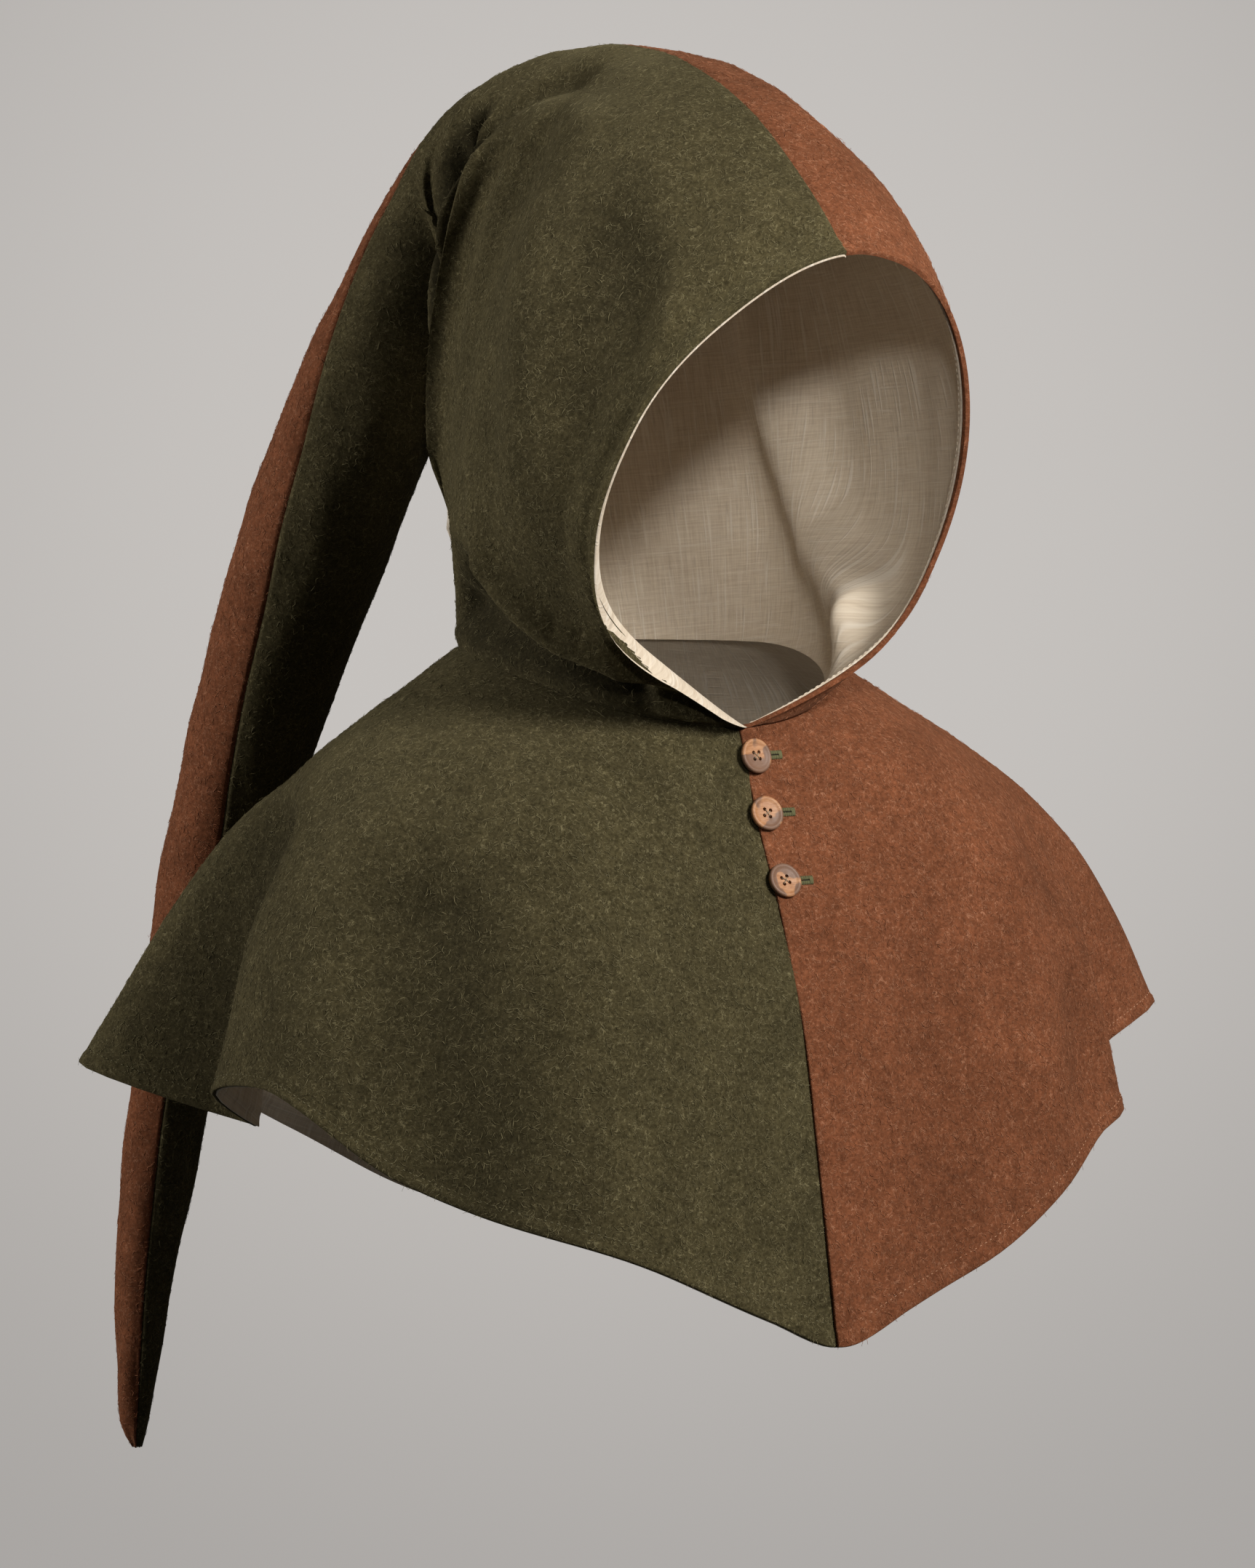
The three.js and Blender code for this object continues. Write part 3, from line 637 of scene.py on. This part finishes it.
class Maker:
    """A material and short words for the shader nodes in it."""

    def __init__(self, name):
        self.material = bpy.data.materials.new(name)
        self.material.use_nodes = True
        self.tree = self.material.node_tree
        self.shader = self.tree.nodes["Principled BSDF"]

    def put(self, value, socket):
        """Link a node's output to a socket, or set the socket to a number or a colour."""
        if isinstance(value, (int, float)):
            socket.default_value = value
        elif isinstance(value, tuple):
            socket.default_value = (*value, 1)
        else:
            self.tree.links.new(value, socket)

    def object_place(self):
        return self.tree.nodes.new("ShaderNodeTexCoord").outputs["Object"]

    def stored(self, name):
        """The outputs of a value that the mesh holds at each of its points."""
        node = self.tree.nodes.new("ShaderNodeAttribute")
        node.attribute_name = name
        return node.outputs

    def noise(self, vector, scale, detail=2.0, rough=0.5, distortion=0.0):
        node = self.tree.nodes.new("ShaderNodeTexNoise")
        numbers = {"Scale": scale, "Detail": detail, "Roughness": rough, "Distortion": distortion}
        for word, value in numbers.items():
            node.inputs[word].default_value = value
        self.put(vector, node.inputs["Vector"])
        return node.outputs["Fac"]

    def moved(self, vector, place=(0, 0, 0), scale=(1, 1, 1), turn=0.0):
        node = self.tree.nodes.new("ShaderNodeMapping")
        node.inputs["Location"].default_value = place
        node.inputs["Rotation"].default_value = (0, 0, math.radians(turn))
        node.inputs["Scale"].default_value = scale
        self.put(vector, node.inputs["Vector"])
        return node.outputs["Vector"]

    def math(self, operation, a, b=0.0):
        node = self.tree.nodes.new("ShaderNodeMath")
        node.operation = operation
        self.put(a, node.inputs[0])
        self.put(b, node.inputs[1])
        return node.outputs[0]

    def range(self, value, low, high, to_low=0.0, to_high=1.0):
        node = self.tree.nodes.new("ShaderNodeMapRange")
        for socket, number in zip(node.inputs[1:5], (low, high, to_low, to_high)):
            socket.default_value = number
        self.put(value, node.inputs[0])
        return node.outputs[0]

    def mix(self, factor, a, b, blend="MIX"):
        node = self.tree.nodes.new("ShaderNodeMix")
        node.data_type = "RGBA"
        node.blend_type = blend
        self.put(factor, node.inputs[0])
        self.put(a, node.inputs[6])
        self.put(b, node.inputs[7])
        return node.outputs[2]

    def bump(self, height, strength, distance):
        node = self.tree.nodes.new("ShaderNodeBump")
        node.inputs["Strength"].default_value = strength
        node.inputs["Distance"].default_value = distance
        self.put(height, node.inputs["Height"])
        self.put(node.outputs["Normal"], self.shader.inputs["Normal"])

    def finish(self, colour, **values):
        self.put(colour, self.shader.inputs["Base Color"])
        for word, value in values.items():
            self.put(value, self.shader.inputs[word.replace("_", " ")])
        return self.material


def wool(name, base, light, dark):
    """Fulled wool: a mottled ground with fine curled fibres lying over it, and painted shade in its folds.
    """
    m = Maker(name)
    place = m.object_place()
    grain = m.range(m.noise(place, 520, 4, 0.75), 0.34, 0.66)
    ground = m.mix(grain, dark, base)
    fibre = 0.0
    for k, (scale, width) in enumerate(((170, 0.016), (240, 0.02), (340, 0.026))):
        line = m.noise(m.moved(place, (k * 3.1, k * 1.7, k * 2.3)), scale, 1.5, 0.5, 0.6)
        line = m.range(m.math("ABSOLUTE", m.math("SUBTRACT", line, 0.5)), 0, width, 1, 0)
        keep = m.range(m.noise(m.moved(place, (k * 5.7, 9, k)), scale * 1.3, 1), 0.5, 0.58)
        fibre = m.math("MAXIMUM", m.math("MULTIPLY", line, keep), fibre)
    colour = m.mix(m.math("MULTIPLY", fibre, 0.6), ground, light)
    patch = m.range(m.noise(place, 26, 4, 0.65), 0.3, 0.7, 0.84, 1.16)
    speck = m.range(m.noise(m.moved(place, (4, 4, 4)), 130, 3, 0.6), 0.3, 0.7, 0.82, 1.18)
    tint = m.mix(1.0, m.math("MULTIPLY", patch, speck), (1.0, 1.0, 1.0), "MULTIPLY")
    colour = m.mix(1.0, colour, tint, "MULTIPLY")
    # Painted shade: the colour goes towards black by the mesh's painted_shade value, in the folds' hollows
    # and by the neck seam.
    colour = m.mix(m.math("MULTIPLY", m.stored("painted_shade")["Fac"], SHADE_DARK), colour, (0.0, 0.0, 0.0))
    fine = m.math("MULTIPLY", m.noise(place, 950, 3, 0.7), 0.6)
    height = m.math("ADD", m.math("MULTIPLY", fibre, 0.55), fine)
    height = m.math("ADD", height, m.math("MULTIPLY", m.noise(place, 170, 3, 0.6), 1.0))
    m.bump(height, 0.5, 0.0006)
    m.shader.inputs["Sheen Tint"].default_value = (*[min(1, c * 2.6) for c in light], 1)
    return m.finish(colour, Roughness=0.95, Specular_IOR_Level=0.08, Sheen_Weight=0.14, Sheen_Roughness=0.5)


def linen(name, base, light, dark):
    """Plain linen: fine threads both ways, with slubs where a thread thickens."""
    m = Maker(name)
    place = m.moved(m.stored("threads")["Vector"], turn=6)
    across = m.noise(m.moved(place, (0, 0, 0), (45, 950, 1)), 1, 3, 0.65)
    down = m.noise(m.moved(place, (3, 5, 0), (950, 34, 1)), 1, 3, 0.65)
    slub_across = m.range(m.noise(m.moved(place, (7, 1, 0), (26, 520, 1)), 1, 1), 0.6, 0.7)
    slub_down = m.range(m.noise(m.moved(place, (2, 8, 0), (520, 18, 1)), 1, 1), 0.57, 0.68)
    fleck = m.range(m.noise(m.moved(place, (5, 2, 0), (700, 60, 1)), 1, 1), 0.64, 0.74)
    weave = m.math("MULTIPLY", m.math("ADD", across, down), 0.5)
    slub = m.math("MAXIMUM", m.math("MULTIPLY", slub_across, 0.6), slub_down)
    ground = m.mix(m.range(weave, 0.36, 0.64), dark, base)
    colour = m.mix(m.math("MULTIPLY", slub, 0.5), ground, light)
    colour = m.mix(m.math("MULTIPLY", fleck, 0.35), colour, tuple(c * 0.75 for c in dark))
    height = m.math("ADD", weave, m.math("MULTIPLY", slub, 0.8))
    height = m.math("ADD", height, m.math("MULTIPLY", m.noise(place, 90, 3, 0.6), 2.0))
    m.bump(height, 0.55, 0.0005)
    return m.finish(colour, Roughness=0.9, Specular_IOR_Level=0.2, Sheen_Weight=0.1)


def yarn(name, colour, rough=0.9):
    """Spun thread or a loose fibre."""
    return Maker(name).finish(colour, Roughness=rough, Specular_IOR_Level=0.2)


def button_wood(name, pale, brown, heart):
    """Turned wood with streaks, a darker heart in sharp-edged patches and a satin finish."""
    m = Maker(name)
    place = m.object_place()
    grain = m.noise(m.moved(place, scale=(70, 70, 380)), 3, 4, 0.6, 0.8)
    patch = m.range(m.noise(m.moved(place, (0.021, 0.013, 0.004)), 62, 1.5, 0.5, 0.3), 0.535, 0.56)
    ground = m.mix(m.range(grain, 0.35, 0.65), brown, pale)
    colour = m.mix(m.math("MULTIPLY", patch, 0.8), ground, heart)
    m.bump(grain, 0.25, 0.0002)
    return m.finish(colour, Roughness=0.5, Specular_IOR_Level=0.35)


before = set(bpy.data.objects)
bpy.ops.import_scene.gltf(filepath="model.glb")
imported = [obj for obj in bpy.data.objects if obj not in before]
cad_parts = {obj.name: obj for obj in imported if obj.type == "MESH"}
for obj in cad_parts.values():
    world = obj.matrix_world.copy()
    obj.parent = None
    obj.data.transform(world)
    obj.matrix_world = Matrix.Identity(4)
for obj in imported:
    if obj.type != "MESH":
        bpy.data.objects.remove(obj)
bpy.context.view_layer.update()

green = wool("green wool", (0.086, 0.071, 0.034), (0.235, 0.202, 0.108), (0.031, 0.025, 0.0105))
rust = wool("rust wool", (0.225, 0.079, 0.036), (0.42, 0.2, 0.115), (0.108, 0.036, 0.0155))
flax = linen("linen", (0.8, 0.7, 0.56), (0.88, 0.81, 0.7), (0.6, 0.49, 0.365))
green_strands = [yarn("green fibre", (0.24, 0.207, 0.11)), yarn("olive fibre", (0.15, 0.127, 0.063))]
rust_strands = [yarn("rust fibre", (0.46, 0.2, 0.105)), yarn("brown fibre", (0.33, 0.125, 0.058))]
rust_thread = yarn("rust thread", (0.5, 0.27, 0.16))
green_thread = yarn("green thread", (0.15, 0.145, 0.07))
hem_thread = yarn("olive thread", (0.17, 0.15, 0.085))
pale_thread = yarn("pale thread", (0.74, 0.66, 0.53))
button_thread = yarn("button thread", (0.36, 0.28, 0.19))
painted_slit_shadow = yarn("painted slit shadow", (0.02, 0.016, 0.012))
wood = button_wood("button wood", (0.52, 0.27, 0.135), (0.37, 0.165, 0.072), (0.15, 0.09, 0.065))

# Where the grids' rows lie, closer together at the tail's root, the collar, the seams and hems.
HOOD_AT = [np.linspace(2.5, 280, 84)[:-1], np.linspace(280, 380, 46)[:-1], np.linspace(380, 1308, 116)]
HOOD_AT = np.concatenate(HOOD_AT)
HOOD_UP = [[0, 0.006], np.linspace(0.012, 0.22, 32)[:-1], np.linspace(0.22, 0.978, 58), [0.987, 0.994, 1]]
HOOD_UP = np.concatenate(HOOD_UP)
CAPE_ANGLE = np.concatenate([[0, 0.8, 1.8], np.linspace(3, 177, 88), [178.4, 179.3, 180]])
CAPE_DOWN = [[0, 0.006, 0.013], np.linspace(0.025, 0.955, 50), [0.965, 0.972, 0.979, 0.986, 0.993, 1]]
CAPE_DOWN = np.concatenate(CAPE_DOWN)

# Two places behind the face opening, whose difference is the way that its edge reaches.
EDGE_PLACES = [2.5, 9]


def upright_threads(points):
    """Where the lining's threads run: round the head one way and up the other."""
    around = np.arctan2(points[..., 0], HEAD_MIDDLE - points[..., 1]) * HEAD_THREADS
    return np.stack([around, points[..., 2] * 1.05, 0 * around], -1)


def flat_threads(points):
    """Where the cape lining's threads run: round the neck one way and down the slope the other."""
    x, y = points[..., 0], NECK_BACK - points[..., 1]
    around = np.arctan2(x, y) * CAPE_THREADS
    return np.stack([around, np.hypot(x, y) * 0.6 - points[..., 2] * 0.8, 0 * x], -1)


def ride_as(obj, *nodes):
    """The piece stands for these nodes, or only goes along with the object."""
    if nodes:
        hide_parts(*nodes)
    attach(obj, "root")


def hood_half(word, side, cloth, fibre):
    """One half of the hood with its tail: its wool, the fibres on it and its lining."""
    turned = TURNED_RIGHT if side < 0 else TURNED_LEFT
    points, n, out = hood_grid(side, HOOD_AT, HOOD_UP)
    ahead = np.subtract(*hood_base(side, *np.meshgrid(EDGE_PLACES, HOOD_UP, indexing="ij")))
    edged, frames = turned_edge(points, n, ahead, HOOD_UP, turned)
    stations = np.concatenate([np.zeros(EDGE_ROWS), HOOD_AT])
    bulge = spline(HOOD_ROWS, HOOD_COLUMNS.index("left"), stations)
    thick = np.minimum(WOOL, bulge * 0.5)[:, None]
    places = np.meshgrid(stations, HOOD_UP, indexing="ij")
    # Painted shade for the wool's folds and its neck seam.
    painted_shade = painted_shade_amount(HOOD_FOLDS, side, *places, 1, HOOD_HEIGHT)
    ride_as(shell(f"hood_cloth_{word}", edged, frames, 0, thick, cloth, None, painted_shade), f"hood_{word}")
    ride_as(strands(f"hood_nap_{word}", points, out, STRANDS, 5 + side, fibre))

    head = HOOD_AT <= LINING_END
    if side < 0:
        lined, frames = turned_edge(points[head], n[head], ahead, HOOD_UP, turned)
    else:
        lined, frames = points[head][1:], n[head][1:]
    lined = lined.copy()
    lined[:, 0] -= frames[:, 0] * 1.4 + np.array([0, 0, 4])
    threads = upright_threads(lined)
    lining = shell(f"hood_linen_{word}", lined, frames, UNDER, UNDER + LINEN, flax, threads)
    ride_as(lining, f"hood_lining_{word}")


def cape_half(word, side, slot, cloth, fibre, thread):
    """One half of the cape: its wool, the fibres on it, its lining and its hem's stitches."""
    angles = CAPE_ANGLE if side < 0 else np.concatenate([[-1.3, -0.6], CAPE_ANGLE])
    points, n, out = cape_grid(side, angles, CAPE_DOWN)
    places = np.meshgrid(angles, CAPE_DOWN, indexing="ij")
    # Painted shade for the wool's folds and its neck seam.
    painted_shade = painted_shade_amount(CAPE_FOLDS, side, *places, CAPE_DEGREE, CAPE_LENGTH)
    ride_as(shell(f"cape_cloth_{word}", points, n, 0, WOOL, cloth, None, painted_shade), f"cape_{word}")
    ride_as(strands(f"cape_nap_{word}", points, out, STRANDS, 15 + side, fibre))
    lined, frames = points[angles >= 0][1:], n[angles >= 0][1:]
    threads = flat_threads(lined)
    lining = shell(f"cape_linen_{word}", lined, frames, UNDER, UNDER + LINEN, flax, threads)
    ride_as(lining, f"cape_lining_{word}")
    hem, _, hem_out = cape_grid(side, np.linspace(2, 178, 700), np.array([0.97, 0.976, 0.982]))
    ride_as(stitch_row(f"hem_stitches_{word}", hem[:, 1], hem_out[:, 1], *HEM_STITCH, thread, slot))
    return points, n, out


def edge_stitches():
    """The pale stitches round the face opening, on the inside of the left half."""
    edge, n, _ = hood_grid(1, np.array([6, 9.5, 13]), np.linspace(0.015, 0.985, 400))
    inside = edge[1] - n[1] * (UNDER + LINEN)
    ride_as(stitch_row("edge_stitches", inside, -n[1], *EDGE_STITCH, pale_thread, "linen"))


def fastening(k, turn, front):
    """One button with its threads, and its worked buttonhole in the cape's left front."""
    low, high = (np.array(corner) * 1000 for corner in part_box(f"button_{k}"))
    centre = (low + high) / 2
    _, n, sideways, upwards = frame_at(front, centre)
    ride_as(button(f"wood_button_{k}", centre, n, sideways, upwards, turn, wood), f"button_{k}")
    ride_as(cross_threads(f"button_thread_{k}", centre, n, sideways, upwards, turn, button_thread))
    low, high = (np.array(corner) * 1000 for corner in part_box(f"buttonhole_{k}"))
    hole = worked_hole(f"worked_hole_{k}", front, (low + high) / 2, [green_thread, painted_slit_shadow])
    ride_as(hole, f"buttonhole_{k}")


hood_half("right", -1, green, green_strands)
cape_half("right", -1, "green_wool", green, green_strands, hem_thread)
hood_half("left", 1, rust, rust_strands)
left_front = cape_half("left", 1, "rust_wool", rust, rust_strands, rust_thread)
edge_stitches()
for k, turn in enumerate(BUTTON_TURNS, 1):
    fastening(k, turn, left_front)

# The camera: its angles, how far it stands from the neck, how many pixels show a millimetre
# there, the picture's size and the pixel that shows the origin.
AZIMUTH, ELEVATION = math.radians(-30), math.radians(6)
DISTANCE, SCALE = 2400, 2.5
WIDE, HIGH = 1725, 2156
NECK_PIXEL = (950, 985)
SENSOR = 36
right = Vector((math.cos(AZIMUTH), math.sin(AZIMUTH), 0))
level = math.cos(ELEVATION)
ahead = Vector((-math.sin(AZIMUTH) * level, math.cos(AZIMUTH) * level, -math.sin(ELEVATION)))
over = right.cross(ahead)
middle = right * ((WIDE / 2 - NECK_PIXEL[0]) / SCALE) - over * ((HIGH / 2 - NECK_PIXEL[1]) / SCALE)
eye = (middle - ahead * DISTANCE) * 0.001
lens = bpy.data.cameras.new("camera")
lens.lens = DISTANCE * SCALE / HIGH * SENSOR
lens.sensor_width = SENSOR
lens.dof.use_dof = False
camera = bpy.data.objects.new("camera", lens)
turned = Matrix((right, over, -ahead)).transposed().to_4x4()
camera.matrix_world = Matrix.Translation(eye) @ turned
bpy.context.scene.collection.objects.link(camera)
bpy.context.scene.camera = camera


def lamp(name, kind, power, colour, place, target, **values):
    """A lamp of a kind at a place in metres, aimed at a target, with its own further values."""
    light = bpy.data.lights.new(name, kind)
    light.energy = power
    light.color = colour
    for word, value in values.items():
        setattr(light, word, value)
    obj = bpy.data.objects.new(name, light)
    obj.location = place
    obj.rotation_mode = "QUATERNION"
    obj.rotation_quaternion = (Vector(target) - Vector(place)).to_track_quat("-Z", "Y")
    bpy.context.scene.collection.objects.link(obj)


# A large soft key from the front, a fill from behind on the wearer's right, and a narrow beam
# that lights the lining through the face opening.
WARM, PALE = (1.0, 0.975, 0.94), (1.0, 0.97, 0.93)
BEAM = {"shadow_soft_size": 0.15, "spot_size": math.radians(8), "spot_blend": 0.6}
lamp("key", "AREA", 70, WARM, (0.6, -2.05, 1.25), (0, 0, 0), shape="DISK", size=0.8)
lamp("left", "AREA", 32, PALE, (-2.0, 1.0, 0.6), (0, 0, 0), shape="DISK", size=0.8)
lamp("inside", "SPOT", 110, PALE, (-1.0, -2.05, 0.85), (0.06, -0.06, 0.15), **BEAM)


def studio():
    """A dim world round the object, and a pale wall that only the camera sees, with painted light that
    makes it brightest behind the object.
    """
    world = bpy.data.worlds.new("studio")
    world.use_nodes = True
    bpy.context.scene.world = world
    tree = world.node_tree
    around = tree.nodes["Background"]
    around.inputs[0].default_value = (0.8, 0.79, 0.77, 1)
    around.inputs[1].default_value = 0.06
    # Painted light on the wall: bright round the way the camera looks, darker further out.
    distance = tree.nodes.new("ShaderNodeVectorMath")
    distance.operation = "DISTANCE"
    distance.inputs[1].default_value = (0.5, 0.862, -0.04)
    fade = tree.nodes.new("ShaderNodeMapRange")
    fade.interpolation_type = "SMOOTHSTEP"
    for socket, number in zip(fade.inputs[1:5], (0.07, 0.3, 0.0, 1.0)):
        socket.default_value = number
    wall = tree.nodes.new("ShaderNodeMix")
    wall.data_type = "RGBA"
    wall.inputs[6].default_value = (0.56, 0.535, 0.512, 1)
    wall.inputs[7].default_value = (0.395, 0.377, 0.362, 1)
    seen = tree.nodes.new("ShaderNodeBackground")
    choose = tree.nodes.new("ShaderNodeMixShader")
    links = [
        (tree.nodes.new("ShaderNodeTexCoord").outputs["Generated"], distance.inputs[0]),
        (distance.outputs["Value"], fade.inputs[0]),
        (fade.outputs[0], wall.inputs[0]),
        (wall.outputs[2], seen.inputs[0]),
        (tree.nodes.new("ShaderNodeLightPath").outputs["Is Camera Ray"], choose.inputs[0]),
        (around.outputs[0], choose.inputs[1]),
        (seen.outputs[0], choose.inputs[2]),
        (choose.outputs[0], tree.nodes["World Output"].inputs["Surface"]),
    ]
    for start, end in links:
        tree.links.new(start, end)


studio()
bpy.context.scene.view_settings.view_transform = "Standard"
